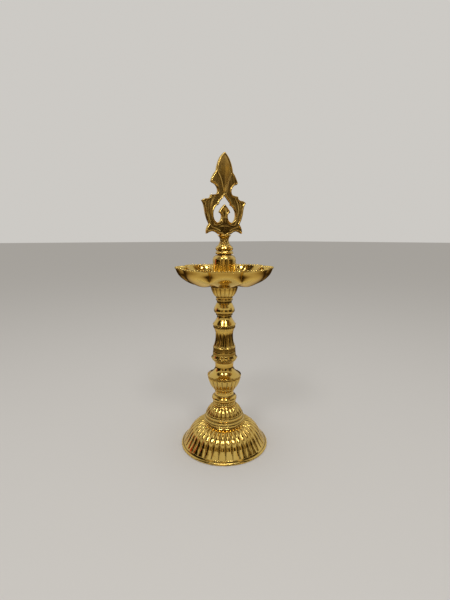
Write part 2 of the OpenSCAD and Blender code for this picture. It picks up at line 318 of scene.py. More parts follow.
def grid_normals(points, closed):
    """Outward normals of a ring grid, by finite differences."""
    around = np.roll(points, -1, 1) - np.roll(points, 1, 1)
    if closed:
        along = np.roll(points, -1, 0) - np.roll(points, 1, 0)
    else:
        along = np.gradient(points, axis=0)
    n = np.cross(around, along)
    return n / np.maximum(np.linalg.norm(n, axis=2, keepdims=True), 1e-9)


def place_object(name, data):
    """A new object in the scene that shows data."""
    obj = bpy.data.objects.new(name, data)
    bpy.context.scene.collection.objects.link(obj)
    return obj


def make_object(name, verts, faces, cavity, wear):
    """A smooth mesh object from millimetres, with its hollows and worn edges stored on the vertices."""
    mesh = bpy.data.meshes.new(name + "_form")
    mesh.from_pydata((np.asarray(verts) * MM).tolist(), [], faces)
    for label, values in (("cavity", cavity), ("wear", wear)):
        mesh.attributes.new(label, "FLOAT", "POINT").data.foreach_set("value", values.astype(np.float32))
    mesh.shade_smooth()
    mesh.validate()
    return place_object(name + "_form", mesh)


# How strongly a hollow darkens and a convex edge brightens.
CAVITY_GAIN, WEAR_GAIN = 5, 4


def add_ring_surface(name, points, closed):
    """A finished object from a ring grid."""
    bend = hollows(points, grid_normals(points, closed))
    verts, faces, used = ring_mesh(points, closed)
    bend = bend.reshape(-1)[used]
    cavity = np.clip(bend * CAVITY_GAIN, 0, 1)
    wear = np.clip(-bend * WEAR_GAIN, 0, 1)
    return make_object(name, verts, faces, cavity, wear)


def lathe(name, seat, corners, around=360, closed=False, step=0.7, reliefs=()):
    """Turns a profile round the lamp's axis. reliefs are (first corner, last corner, relief)."""
    path, marks = path_of(corners, step, closed)
    reach = np.concatenate([[0], np.cumsum(np.linalg.norm(np.diff(path, axis=0), axis=1))])
    if closed:
        slope = np.roll(path, -1, 0) - np.roll(path, 1, 0)
    else:
        slope = np.gradient(path, axis=0)
    slope /= np.maximum(np.linalg.norm(slope, axis=1, keepdims=True), 1e-9)
    normal = np.stack([slope[:, 1], -slope[:, 0]], 1)
    theta = np.arange(around) * TAU / around
    moved = np.zeros((len(path), around))
    for first, last, relief in reliefs:
        a, b = marks[first], marks[last]
        length = reach[b] - reach[a]
        for i in range(a, b + 1):
            along = np.full(around, reach[i] - reach[a])
            moved[i] += relief(theta, along, length, path[i, 0], path[i, 1])
    r = path[:, :1] + moved * normal[:, :1]
    z = path[:, 1:] + moved * normal[:, 1:] + seat
    points = np.stack([r * np.cos(theta), r * np.sin(theta), z], 2)
    return add_ring_surface(name, points, closed)


# ---------------------------------------------------------------- the turned pieces


def base_bell():
    count = 36
    inner_wall = [(41.1, 10.9), (36.7, 17.9), (23.0, 24.8)]
    corners = [(46.0, 0, 0.3), (50.4, 0, 0.5), (51.0, 0.8, 0.5), (50.6, 1.9, 0.4), (49.6, 2.5, 0.3)]
    corners += [(48.9, 2.4, 0.2), (48.6, 3.0, 0.3), (47.9, 4.2, 0.3)]
    corners += arc((42.8, 12), (38.2, 19.2), (24.0, 26.7), 56)
    top = len(corners) - 1
    corners += [(23.4, 26.75, 0.3), (4.0, 26.7, 0.3), (4.0, 8, 0.4), (7, 8, 0.8), (8, 20.5, 2), (10, 24, 2)]
    corners += arc(*reversed(inner_wall), 30) + [(45.9, 3.8, 0.5)]
    reliefs = [(7, top, fading_gadroons(count, depth=1.5, line=0.4, run=9.0))]
    return lathe("base_bell", 0, corners, around=count * 16, closed=True, step=0.6, reliefs=reliefs)


def base_collar():
    corners = [
        (12, 0, 0.2), (23.3, 0, 0.1), (22.8, 0.5, 0.1), (22.8, 1.1, 0.1), (23.6, 1.6, 0.35),
        (23.6, 3.4, 0.35), (22.9, 3.9, 0.1), (22.9, 4.3, 0.1), (23.5, 4.8, 0.35), (23.4, 6.4, 0.35),
        (22.3, 7.0, 0.1), (22.2, 7.8, 0.1), (22.6, 8.3, 0.1), (12, 8.3, 0.2),
    ]  # fmt: skip
    return lathe("base_collar", TOP["base_bell"], corners, around=288, closed=True, step=0.4)


def base_dome():
    count = 22
    corners = [(19, 0, 0.2), (22.0, 0, 0.2), (21.9, 1.9, 0.25)]
    corners += arc((21.6, 2.3), (19.2, 7.2), (14.6, 12.2), 36)
    top = len(corners) - 1
    corners += [(13.9, 13, 0.2), (BORE_R, 13, 0.2), (BORE_R, -8.3, 0.2), (7.5, -8.3, 0.3)]
    corners += [(7.5, 9, 0.8), (12.0, 9.8, 0.8)]
    reliefs = [(3, top, gadroons(count, 1.15, low_end=0.9))]
    return lathe(
        "base_dome", TOP["base_collar"], corners, around=count * 20, closed=True, step=0.5, reliefs=reliefs
    )


def stud(depth, radius):
    """Profile corners of a stud that hangs down from its piece's seat, from its tip up to the seat."""
    core = radius - THREAD_DEPTH
    return [(0, -depth, 0), (core - 0.3, -depth, 0.3), (core + 0.3, -depth + 0.8, 0.2),
            (radius, -depth + 1.2, 0.3), (radius, -2.4, 0.2), (core, -2.0, 0.2), (core, 0, 0.2)]  # fmt: skip


def lower_knob():
    count = 34
    corners = stud(TOP["base_dome"] - LOW["lower_knob"], STUD_R)
    corners += [
        (12.3, 0, 0.2), (12.9, 0.5, 0.5), (12.9, 1.6, 0.5), (12.2, 2.2, 0.2),
        (13.4, 2.6, 0.8), (13.4, 4.7, 0.8), (12.8, 5.2, 0.2),
    ]  # fmt: skip
    corners += arc((13.3, 5.5), (14.5, 7.8), (11.3, 11.4), 24)
    corners += [(10.6, 12.2, 0.2), (10.9, 12.8, 0.4), (10.9, 15.2, 0.4), (10.4, 16, 0.2), (0, 16, 0)]
    reliefs = [(3, 4, thread(PITCH, THREAD_DEPTH)), (10, 13, beads(count, 0.85))]
    return lathe("lower_knob", TOP["base_dome"], corners, around=count * 14, step=0.45, reliefs=reliefs)


def lotus_vase():
    count = 20
    corners = [(0, 0, 0), (10.4, 0, 0.2), (10.6, 0.8, 0.3)]
    foot = len(corners)
    waist = foot + 12
    corners += arc((10.9, 1.2), (16.3, 8.8), (19.2, 17.0), 44)
    rim = len(corners)
    corners += [(19.0, 19.0, 0.15), (19.6, 19.7, 0.35), (19.5, 20.7, 0.4)]
    corners += arc((18.2, 21.0), (13.75, 24.0), (11.1, 28.0), 20)
    corners += [(10.6, 29.4, 1.0), (10.4, 30.6, 0.6), (10.5, 32, 0.1), (0, 32, 0)]
    reliefs = [
        (waist, rim - 1, gadroons(count, 1.0, low_end=1.0)),
        (foot, waist, gadroons(count, 0.8, high_end=1.2, offset=0.5)),
    ]
    return lathe("lotus_vase", TOP["lower_knob"], corners, around=count * 22, step=0.5, reliefs=reliefs)


def fluted_column():
    count, shaft_steps = 14, 40
    corners = [
        (0, 0, 0), (10.5, 0, 0.2), (10.7, 2, 0.6), (11.0, 4, 1), (12.1, 5.2, 0.4), (12.6, 5.5, 0.2),
        (13.1, 6.0, 0.6), (14.4, 8.0, 0.5), (14.1, 8.6, 0.15), (15.2, 9.1, 0.12), (14.2, 10.0, 0.6),
        (13.8, 11.0, 0.6), (13.2, 13.0, 0.6), (13.2, 16.0, 0.3), (12.9, 17.0, 0.3), (12.75, 21.8, 0.2),
    ]  # fmt: skip
    shaft = len(corners)
    corners += arc((12.75, 22.0), (10.3, 31.0), (10.2, 39.5), shaft_steps)
    corners += [(10.6, 41.0, 0.5), (10.9, 42, 0.1), (0, 42, 0)]
    reliefs = [
        (5, 8, beads(34, 0.9)),
        (12, 15, turned_rings(1.15, 0.16)),
        (shaft, shaft + shaft_steps, flutes(count, 1.15, 2.2, twist=-0.35)),
    ]
    return lathe("fluted_column", TOP["lotus_vase"], corners, around=count * 34, step=0.45, reliefs=reliefs)


def bell_knob_lower():
    count = 30
    corners = [(0, 0, 0), (11.0, 0, 0.2), (11.5, 1.0, 0.5), (12.0, 2.1, 0.2), (12.6, 2.6, 0.7)]
    corners += [(12.6, 4.8, 0.7), (12.1, 5.4, 0.15), (13.2, 6.2, 0.12)]
    corners += arc((12.8, 7.0), (10.9, 9.6), (9.0, 12.8), 20)
    corners += [(8.3, 14.6, 1.5), (8.2, 17, 0.2), (0, 17, 0)]
    reliefs = [(3, 6, beads(count, 0.85))]
    seat = TOP["fluted_column"]
    return lathe("bell_knob_lower", seat, corners, around=count * 14, step=0.5, reliefs=reliefs)


def bell_knob_upper():
    corners = [(0, 0, 0), (8.9, 0, 0.2), (9.5, 0.4, 0.5), (9.5, 1.7, 0.5), (9.2, 2.0, 0.2), (11.2, 3.5, 0.7)]
    corners += [(11.85, 5.0, 1.2), (11.6, 7.2, 2.5), (10.8, 9.3, 3), (9.1, 13.0, 2.5), (8.3, 14.3, 1)]
    corners += [(8.4, 16.2, 0.4), (9.3, 17.0, 0.4), (9.55, 17.6, 0.5), (9.5, 18.9, 0.5)]
    corners += [(9.0, 19.5, 0.2), (0, 19.5, 0)]
    return lathe("bell_knob_upper", TOP["bell_knob_lower"], corners, around=240, step=0.5)


def lotus_cup():
    count = 16
    height = CUP_TOP - TOP["bell_knob_upper"]
    corners = [(0, 0, 0), (9.0, 0, 0.2), (9.2, 0.6, 0.2)]
    corners += arc((9.9, 1.3), (13.1, 6.0), (14.9, 10.8), 30)
    rim = len(corners)
    corners += [(15.35, height - 2.8, 0.5), (15.5, height - 0.5, 0.4), (14.9, height, 0.3)]
    corners += [(r, height - z, f) for r, z, f in reversed(stud(TOP["lotus_cup"] - CUP_TOP, STUD_R))]
    # The thread starts at the stud's third corner, after the three corners of the cup's lip.
    grip = rim + 3 + 2
    reliefs = [(3, rim, gadroons(count, 0.9, low_end=1.0)), (grip, grip + 1, thread(PITCH, THREAD_DEPTH))]
    return lathe("lotus_cup", TOP["bell_knob_upper"], corners, around=count * 26, step=0.45, reliefs=reliefs)


def hub():
    height = TOP["hub"] - LOW["hub"]
    corners = [(4, 0, 0.3), (12.7, 0, 0.4), (12.8, height - 5.6, 2.5)]
    corners += arc((12.75, height - 5), (11.9, height - 2.1), (9.95, height - 0.45), 16)
    corners += [(9.6, height, 0.25), (3.5, height, 0.3), (3.5, height - 12.5, 0.2), (0.6, height - 13, 0.2)]
    corners += [(0.6, 15, 0.1), (4, 14.5, 0.3)]
    return lathe("hub", LOW["hub"], corners, around=288, closed=True, step=0.8)


def finial_washer():
    thick = TOP["finial_washer"] - LOW["finial_washer"]
    corners = [(3.5, 0, 0.1), (7.8, 0, 0.3), (7.9, thick / 2, 0.3), (7.8, thick, 0.3), (3.5, thick, 0.1)]
    return lathe("finial_washer", LOW["finial_washer"], corners, around=128, closed=True, step=0.3)


def finial_knob():
    corners = stud(TOP["finial_washer"] - LOW["finial_knob"], SMALL_STUD_R)
    corners += [
        (8.9, 0, 0.2), (9.7, 0.5, 0.5), (9.9, 1.7, 0.7), (9.3, 2.9, 0.6), (8.8, 3.5, 0.3), (8.8, 4.6, 0.3),
        (9.6, 5.2, 0.5), (9.8, 6.4, 0.6), (9.0, 7.9, 0.5),
    ]  # fmt: skip
    neck = len(corners)
    corners += arc((8.4, 8.5), (6.0, 11.3), (4.9, 14.4), 16)
    corners += [(4.95, 16.2, 2), (5.7, 18.6, 2), (6.2, 19.3, 0.15), (7.2, 19.7, 0.4), (7.2, 20.6, 0.4)]
    corners += [(6.2, 20.9, 0.1), (6.1, 21.4, 0.1), (0, 21.4, 0)]
    reliefs = [
        (3, 4, thread(PITCH, SMALL_THREAD_DEPTH)),
        (7, 11, hammered(0.28, (9, 1.3, 0), (14, -2.1, 1), (5, 0.8, 2))),
        (12, 14, beads(30, 0.5)),
        (neck + 1, neck + 18, leaves(7, 2.6, 0.42)),
    ]
    return lathe("finial_knob", TOP["finial_washer"], corners, around=360, step=0.35, reliefs=reliefs)


# ---------------------------------------------------------------- the oil pan


def oil_pan():
    """Eight scoops round a flat middle.

    Each profile blends from a scoop's middle line to the crease beside it.
    """
    lobes, per_lobe, teeth = 8, 98, 14
    rim_r, lobe_r = 55.0, 18.5
    centre = rim_r - lobe_r
    top = TOP["pan"] - LOW["pan"]
    lip = top - 1.0
    scoop = [(BORE_R, 0), (13, 0), (18, 0.15), (24, 0.05), (30, 0.0), (35, 0.5), (39.2, 2.4), (43.6, 5.1),
             (47.6, 8.0), (50.6, 11.0), (52.5, 14.0), (53.9, top - 2.6), (54.6, lip)]  # fmt: skip
    crease = [(BORE_R, 0), (13, 0.2), (18, 1.5), (24, 2.7), (30, 3.2), (35, 3.6), (39, 4.2), (42.0, 5.2),
              (43.5, 7.0), (44.1, 10.2), (44.8, 14.2), (46.6, top - 2.8), (49.2, lip)]  # fmt: skip
    scoop_in = [(52.9, lip), (52.2, top - 2.8), (50.7, 14.4), (48.9, 11.8), (46.2, 9.3), (42.6, 6.8),
                (38.4, 4.3), (34.6, 2.6), (29.6, 2.2), (24, 2.2), (18, 2.5),
                (13, 2.5), (BORE_R, 2.5)]  # fmt: skip
    crease_in = [(47.4, lip), (45.2, top - 2.8), (43.2, 14.0), (42.5, 10.6), (41.4, 8.2), (39.6, 6.9),
                 (37.4, 6.0), (34.0, 5.4), (29.6, 4.9), (24, 4.2), (18, 3.1),
                 (13, 2.6), (BORE_R, 2.5)]  # fmt: skip
    roll_out, roll_in = [(0.35, 0.3), (0.3, 0.7), (-0.25, 1.0)], [(0.35, 1.0), (0.02, 0.6)]
    per_span = 6
    rows = []
    for under, over in ((scoop, scoop_in), (crease, crease_in)):
        roll = [(under[-1][0] + x, lip + z) for x, z in roll_out]
        roll += [(over[0][0] + x, lip + z) for x, z in roll_in]
        rows.append(np.vstack([spline(under, per_span), roll, spline(over, per_span)]))
    total = lobes * per_lobe
    theta = np.arange(total) * TAU / total
    off = np.abs(phase(theta, lobes)) * math.pi / lobes
    plan = centre * np.cos(off) + np.sqrt(lobe_r**2 - (centre * np.sin(off)) ** 2)
    crease_r = plan.min()
    weight = (plan - crease_r) / (rim_r - crease_r)
    grid = rows[1][:, None, :] + (rows[0] - rows[1])[:, None, :] * weight[None, :, None]
    edge = spline(scoop, per_span).shape[0]
    # The teeth are deepest at the lip's top row, and fade over tooth_spread rows on both sides of it.
    lip_row, tooth_spread, tooth_drop, tooth_inset = edge + 2, 3.2, 1.5, 0.6
    gap = (0.5 - 0.5 * np.cos(math.pi * phase(theta, lobes * teeth))) ** 0.75
    for i in range(edge - 1, edge + len(roll_out) + len(roll_in) + 1):
        near = math.exp(-(((i - lip_row) / tooth_spread) ** 2))
        grid[i, :, 1] -= tooth_drop * gap * near
        grid[i, :, 0] -= tooth_inset * gap * near * (1 if i < lip_row else -1)
    turned = theta + PAN_TURN
    r, z = grid[..., 0], grid[..., 1] + LOW["pan"]
    points = np.stack([r * np.cos(turned), r * np.sin(turned), z], 2)
    return add_ring_surface("pan", points, closed=True)


# ---------------------------------------------------------------- the finial plate


def mirrored(half):
    """A closed loop from its right half (u, z, sharp), which starts on the axis and may end on it."""
    left = [(-p[0], *p[1:]) for p in reversed(half) if p[0] > 1e-6]
    return list(half) + left


def loop_curve(points, step=0.33):
    """Closed loop through (u, z, sharp) points, smooth except at the sharp ones."""
    p, n = np.array([q[:2] for q in points], float), len(points)
    sharp = [bool(q[2]) for q in points]
    out = []
    for i in range(n):
        b, c = p[i], p[(i + 1) % n]
        a = b if sharp[i] else p[i - 1]
        d = c if sharp[(i + 1) % n] else p[(i + 2) % n]
        span = np.linalg.norm(c - b)
        ta = (c - a) / max(np.linalg.norm(c - a), 1e-9) * span
        tb = (d - b) / max(np.linalg.norm(d - b), 1e-9) * span
        count = max(1, int(span / step))
        for t in np.arange(count) / count:
            t2, t3 = t * t, t**3
            out.append(
                (2 * t3 - 3 * t2 + 1) * b + (t3 - 2 * t2 + t) * ta + (3 * t2 - 2 * t3) * c + (t3 - t2) * tb
            )
    return np.array(out)


def distance_to(line, q, closed=False):
    """Distance from each point of q to a polyline."""
    best = np.full(len(q), 1e9)
    ends = np.roll(line, -1, 0) if closed else line[1:]
    for a, b in zip(line, ends):
        ab = b - a
        t = np.clip(((q - a) @ ab) / max(ab @ ab, 1e-9), 0, 1)
        best = np.minimum(best, np.linalg.norm(q - a - t[:, None] * ab, axis=1))
    return best


def inside(loop, q):
    """Which points of q lie inside a closed polyline."""
    odd = np.zeros(len(q), bool)
    for a, b in zip(loop, np.roll(loop, -1, 0)):
        crosses = (a[1] > q[:, 1]) != (b[1] > q[:, 1])
        run = (b[0] - a[0]) / (b[1] - a[1]) if a[1] != b[1] else 0.0
        odd ^= crosses & (q[:, 0] < a[0] + (q[:, 1] - a[1]) * run)
    return odd


def bell_curve(x, width):
    return np.exp(-((x / width) ** 2))


# The plate's right half, in mm: across from the lamp's axis, height above the knob, and 1 at a sharp corner.
PLATE_EDGE = [
    (0, 85.4, 1), (3.1, 82.6, 0), (6.0, 79.0, 0), (8.7, 73.4, 0), (10.2, 68.4, 0), (10.6, 65.8, 1),
    (13.6, 62.4, 0), (16.2, 58.0, 0), (17.6, 54.6, 1), (15.9, 53.2, 0), (12.2, 51.8, 0), (9.5, 48.4, 0),
    (8.9, 45.0, 0), (10.2, 42.4, 0), (13.2, 41.5, 0), (18.0, 41.0, 1), (18.8, 38.4, 0), (21.8, 36.9, 0),
    (25.6, 36.5, 0), (29.3, 34.7, 1), (27.4, 31.8, 0), (26.0, 27.4, 0), (24.8, 21.2, 0), (22.6, 15.2, 0),
    (20.2, 11.1, 1), (22.3, 8.2, 0), (23.8, 4.2, 0), (23.7, 0.8, 1), (20.5, 2.4, 0), (15.7, 3.2, 0),
    (11.3, 2.2, 0), (8.1, 0.2, 1), (3.9, 0.0, 1), (3.9, -5.6, 1),
]  # fmt: skip
PLATE_OPENING = [
    (0, 41.4, 1), (2.2, 39.3, 0), (5.0, 36.4, 0), (7.8, 33.5, 1), (7.7, 31.6, 1), (11.4, 29.6, 0),
    (14.6, 25.2, 0), (15.2, 19.6, 0), (13.4, 14.9, 0), (9.7, 12.6, 0), (6.2, 13.8, 0), (4.1, 17.0, 0),
    (3.8, 20.2, 0), (4.8, 22.2, 0), (7.2, 23.4, 1), (5.9, 25.6, 0), (3.6, 28.4, 0), (0, 31.8, 1),
]  # fmt: skip
PLATE_HALF = 1.9
# Raised lines on both faces, as (points, width, rise): the side leaflets' inner edges, the wings' folds and
# the low band's upper edge.
PLATE_RIDGES = [
    ([(10.4, 65.6), (6.9, 60.0), (4.8, 55.0), (3.3, 49.5), (2.0, 44.6), (0.6, 41.6)], 0.75, 0.55),
    ([(8.6, 47), (9.8, 43.4), (12.4, 40.2), (15.4, 36.2), (17.4, 31), (18.2, 24),
      (17.2, 17), (14.6, 10.6)], 0.8, 0.5),  # fmt: skip
    ([(16.4, 40.2), (18.6, 36.8), (21.0, 32.0), (22.0, 26.0), (21.6, 19.5), (19.6, 13.4)], 0.9, 0.35),
    ([(20.6, 37.0), (24.2, 33.6), (25.0, 30.0)], 0.7, 0.35),
    ([(14.8, 9.6), (11.0, 9.4), (6.0, 10.4), (3.0, 13.0), (1.4, 17.0)], 0.7, 0.35),
    ([(19.4, 10.2), (17.4, 7.4), (12.6, 6.0), (7.0, 3.6)], 0.7, 0.35),
]


def plate_height(q, edge):
    """Half thickness of the plate at points q, which lie edge mm from the outline."""
    u, z = np.abs(q[:, 0]), q[:, 1]
    leaf = np.interp(z, [41.6, 46, 54, 60, 66, 74, 85.4], [0.9, 2.4, 4.6, 7.0, 9.8, 8.4, 0.4])
    keel = fade(z, 41, 46) * np.clip(1 - u / leaf, 0, 1) * 0.75
    bud = np.interp(z, [12, 17, 22, 28, 31.8], [2.2, 2.4, 4.0, 2.6, 0.2])
    keel += (z < 32) * fade(z, 10, 16) * np.clip(1 - u / bud, 0, 1) * 0.7
    folds = 0.10 * np.sin(u * 1.3 + z * 0.3) * fade(u, 4, 8) * fade(z, 8, 12)
    height = 1.0 + keel + folds + 0.3 * fade(10 - z, 0, 2) * bell_curve(u - 4, 6)
    for line, width, rise in PLATE_RIDGES:
        height += rise * bell_curve(distance_to(spline(line, 5), np.stack([u, z], 1)), width)
    rim = PLATE_HALF - 0.45 * np.maximum(0, 1 - edge / 0.5) ** 2
    blend = fade(edge, 1.2, 1.9)
    return np.minimum(rim * (1 - blend) + height * blend, PLATE_HALF)


def finial_plate():
    outer = loop_curve(mirrored(PLATE_EDGE))
    inner = loop_curve(mirrored(PLATE_OPENING))
    low, high = outer.min(0), outer.max(0)
    pitch, row_gap = 0.3, 0.866
    u = np.arange(low[0], high[0], pitch)
    z = np.arange(low[1], high[1], pitch * row_gap)
    grid = np.array([(a + (k % 2) * pitch / 2, b) for k, b in enumerate(z) for a in u])
    grid = grid[inside(outer, grid) & ~inside(inner, grid)]
    edge = np.minimum(distance_to(outer, grid, True), distance_to(inner, grid, True))
    grid = grid[edge > 0.45 * pitch]
    rims = np.vstack([outer, inner])
    n_out, n_rim = len(outer), len(rims)
    loops = [(i, (i + 1) % n_out) for i in range(n_out)]
    loops += [(n_out + i, n_out + (i + 1) % len(inner)) for i in range(len(inner))]
    points = [Vector(p) for p in np.vstack([rims, grid])]
    flat, _, faces, origin, _, _ = delaunay_2d_cdt(points, loops, [], 0, 1e-4)
    order = {}
    for new, old in enumerate(origin):
        for o in old:
            order[o] = new
    flat = np.array([(v.x, v.y) for v in flat])
    faces = np.array([f for f in faces if len(f) == 3])
    middle = flat[faces].mean(1)
    faces = faces[inside(outer, middle) & ~inside(inner, middle)]
    edge = np.minimum(distance_to(outer, flat, True), distance_to(inner, flat, True))
    ring = [order[i] for i in range(n_rim)]
    edge[ring] = 0
    half = plate_height(flat, edge)
    front = np.stack([flat[:, 0], -half, flat[:, 1]], 1)
    back = np.stack([flat[:, 0], half, flat[:, 1]], 1)
    middle_ring = np.stack([flat[ring, 0], np.zeros(n_rim), flat[ring, 1]], 1)
    count = len(flat)
    a, b, c = flat[faces[:, 0]], flat[faces[:, 1]], flat[faces[:, 2]]
    turn = (b[:, 0] - a[:, 0]) * (c[:, 1] - a[:, 1]) - (b[:, 1] - a[:, 1]) * (c[:, 0] - a[:, 0])
    faces[turn < 0] = faces[turn < 0][:, ::-1]
    walls = []
    for i, j in loops:
        walls.append([order[i], order[j], 2 * count + j, 2 * count + i])
        walls.append([2 * count + i, 2 * count + j, count + order[j], count + order[i]])
    verts = np.vstack([front, back, middle_ring])
    verts[:, 2] += PLATE_SEAT
    all_faces = faces.tolist() + (faces[:, ::-1] + count).tolist() + walls
    rise = np.concatenate([half, half, np.full(n_rim, PLATE_HALF)])
    away = np.concatenate([edge, edge, np.zeros(n_rim)])
    wear = np.maximum(fade(1.5 - away, 0, 0.7), fade(rise, 1.5, 1.85) * 0.8)
    cavity = fade(1.35 - rise, 0, 0.5) * 0.8
    obj = make_object("finial_plate", verts, all_faces, cavity, wear)
    mesh = bmesh.new()
    mesh.from_mesh(obj.data)
    bmesh.ops.recalc_face_normals(mesh, faces=mesh.faces[:])
    mesh.to_mesh(obj.data)
    mesh.free()
    return obj


# ---------------------------------------------------------------- materials


def node(tree, kind, **values):
    """A new node; each value goes to the input of that name, or else to the node's own setting."""
    n = tree.nodes.new(kind)
    for key, value in values.items():
        if key in n.inputs:
            n.inputs[key].default_value = value
        else:
            setattr(n, key, value)
    return n


# The brass's noises, in repeats per metre, and the heights of its bumps, in metres.
CLOUDS, DIRT, HAZE, SPECKS = 42, 160, 380, 900
DENTS, RIPPLES, LATHE_LINES = 70, 240, (14, 14, 2600)
DENT_HEIGHT, RIPPLE_HEIGHT, LINE_HEIGHT = 0.00035, 0.00004, 0.00002
GROOVE = (0.045, 0.022, 0.006)


def brass(name, bright, dull, smooth, rough, lathe_lines=0.0, waves=1.0, tarnish=0.5):
    """Polished cast brass: colour drifts between bright and dull, grooves go dark, bump carries the marks."""
    mat = bpy.data.materials.new(name)
    mat.use_nodes = True
    tree = mat.node_tree
    tree.nodes.clear()
    link = tree.links.new
    out = node(tree, "ShaderNodeOutputMaterial")
    shader = node(tree, "ShaderNodeBsdfPrincipled", Metallic=1.0)
    link(shader.outputs["BSDF"], out.inputs["Surface"])
    coords = node(tree, "ShaderNodeTexCoord")

    def noise(scale, detail, mapping=None, distortion=0.0):
        n = node(tree, "ShaderNodeTexNoise", Scale=scale, Detail=detail, Distortion=distortion)
        source = coords.outputs["Object"]
        if mapping:
            m = node(tree, "ShaderNodeMapping", Scale=mapping)
            link(source, m.inputs["Vector"])
            source = m.outputs["Vector"]
        link(source, n.inputs["Vector"])
        return n.outputs["Fac"]

    def ramp(source, low, high, a, b):
        r = node(tree, "ShaderNodeMapRange")
        for key, value in (("From Min", low), ("From Max", high), ("To Min", a), ("To Max", b)):
            r.inputs[key].default_value = value
        link(source, r.inputs["Value"])
        return r.outputs["Result"]

    def math_node(operation, a, b):
        m = node(tree, "ShaderNodeMath", operation=operation, use_clamp=operation == "ADD")
        for socket, value in zip(m.inputs, (a, b)):
            if isinstance(value, (int, float)):
                socket.default_value = value
            else:
                link(value, socket)
        return m.outputs["Value"]

    def mix(factor, a, b):
        m = node(tree, "ShaderNodeMix", data_type="RGBA")
        for socket, value in ((m.inputs[0], factor), (m.inputs[6], a), (m.inputs[7], b)):
            if isinstance(value, tuple):
                socket.default_value = (*value, 1)
            else:
                link(value, socket)
        return m.outputs[2]

    cavity = node(tree, "ShaderNodeAttribute", attribute_name="cavity")
    wear = node(tree, "ShaderNodeAttribute", attribute_name="wear")
    clouds = ramp(noise(CLOUDS, 5, distortion=0.6), 0.38, 0.68, 0, 1)
    specks = ramp(noise(SPECKS, 3), 0.60, 0.78, 0, 1)
    dirt = math_node("MULTIPLY", cavity.outputs["Fac"], ramp(noise(DIRT, 4), 0.3, 0.7, 0.55, 1.0))
    film = math_node("MULTIPLY", clouds, tarnish)
    film = math_node("MULTIPLY", film, math_node("SUBTRACT", 1.0, wear.outputs["Fac"]))
    colour = mix(film, bright, dull)
    colour = mix(math_node("MULTIPLY", specks, 0.25 * tarnish), colour, GROOVE)
    colour = mix(dirt, colour, GROOVE)
    link(colour, shader.inputs["Base Color"])
    roughness = math_node("ADD", ramp(clouds, 0, 1, smooth, rough), math_node("MULTIPLY", dirt, 0.35))
    haze = math_node("MULTIPLY", ramp(noise(HAZE, 4), 0.45, 0.7, 0, 1), 0.05)
    link(math_node("ADD", roughness, haze), shader.inputs["Roughness"])
    height = math_node("MULTIPLY", noise(DENTS, 2), DENT_HEIGHT * waves)
    height = math_node("ADD", height, math_node("MULTIPLY", noise(RIPPLES, 2), RIPPLE_HEIGHT * waves))
    if lathe_lines:
        lines = math_node("MULTIPLY", noise(1, 3, LATHE_LINES), LINE_HEIGHT * lathe_lines)
        height = math_node("ADD", height, lines)
    bump = node(tree, "ShaderNodeBump", Strength=1.0, Distance=1.0)
    link(height, bump.inputs["Height"])
    link(bump.outputs["Normal"], shader.inputs["Normal"])
    return mat


def plain(name, colour, roughness):
    mat = bpy.data.materials.new(name)
    mat.use_nodes = True
    shader = mat.node_tree.nodes["Principled BSDF"]
    shader.inputs["Base Color"].default_value = (*colour, 1)
    shader.inputs["Roughness"].default_value = roughness
    return mat


def rubber(name, dark, worn):
    """Aged black sealing rubber: matt, with paler scuffs and a fine grain."""
    mat = plain(name, dark, 0.6)
    tree = mat.node_tree
    link = tree.links.new
    shader = tree.nodes["Principled BSDF"]
    coords = node(tree, "ShaderNodeTexCoord")
    scuffs = node(tree, "ShaderNodeTexNoise", Scale=260, Detail=5)
    shades = node(tree, "ShaderNodeValToRGB")
    for element, place, colour in zip(shades.color_ramp.elements, (0.42, 0.68), (dark, worn)):
        element.position = place
        element.color = (*colour, 1)
    bump = node(tree, "ShaderNodeBump", Strength=0.5, Distance=0.0001)
    link(coords.outputs["Object"], scuffs.inputs["Vector"])
    link(scuffs.outputs["Fac"], shades.inputs["Fac"])
    link(shades.outputs["Color"], shader.inputs["Base Color"])
    link(scuffs.outputs["Fac"], bump.inputs["Height"])
    link(bump.outputs["Normal"], shader.inputs["Normal"])
    return mat


MATERIALS = {
    "polished_brass": brass(
        "polished_brass", (0.80, 0.56, 0.15), (0.60, 0.37, 0.075), smooth=0.08, rough=0.17, lathe_lines=1.0
    ),
    "pan_brass": brass("pan_brass", (0.80, 0.57, 0.16), (0.62, 0.39, 0.08), smooth=0.07, rough=0.14),
    "satin_brass": brass(
        "satin_brass", (0.76, 0.53, 0.15), (0.58, 0.37, 0.08), smooth=0.16, rough=0.24, lathe_lines=2.0
    ),
    "aged_brass": brass(
        "aged_brass", (0.80, 0.54, 0.14), (0.44, 0.25, 0.06), smooth=0.14, rough=0.26, waves=0.35, tarnish=0.9
    ),
    "black_seal": rubber("black_seal", (0.010, 0.009, 0.008), (0.030, 0.027, 0.024)),
}


# ---------------------------------------------------------------- assembly

PIECES = [
    (base_bell, "base_bell", "base", "polished_brass"),
    (base_collar, "base_collar", "dome", "polished_brass"),
    (base_dome, "base_dome", "dome", "polished_brass"),
    (lower_knob, "lower_knob", "stem", "polished_brass"),
    (lotus_vase, "lotus_vase", "stem", "polished_brass"),
    (fluted_column, "fluted_column", "stem", "polished_brass"),
    (bell_knob_lower, "bell_knob_lower", "stem", "polished_brass"),
    (bell_knob_upper, "bell_knob_upper", "stem", "polished_brass"),
    (lotus_cup, "lotus_cup", "stem", "polished_brass"),
    (oil_pan, "pan", "pan", "pan_brass"),
    (hub, "hub", "hub", "satin_brass"),
    (finial_washer, "finial_washer", "seal", "black_seal"),
    (finial_knob, "finial_knob", "finial", "polished_brass"),
    (finial_plate, "finial_plate", "finial", "aged_brass"),
]
for build, node_name, body, slot in PIECES:
    piece = build()
    piece.data.materials.append(MATERIALS[slot])
    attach(piece, body)
    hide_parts(node_name)


# ---------------------------------------------------------------- floor, light and camera


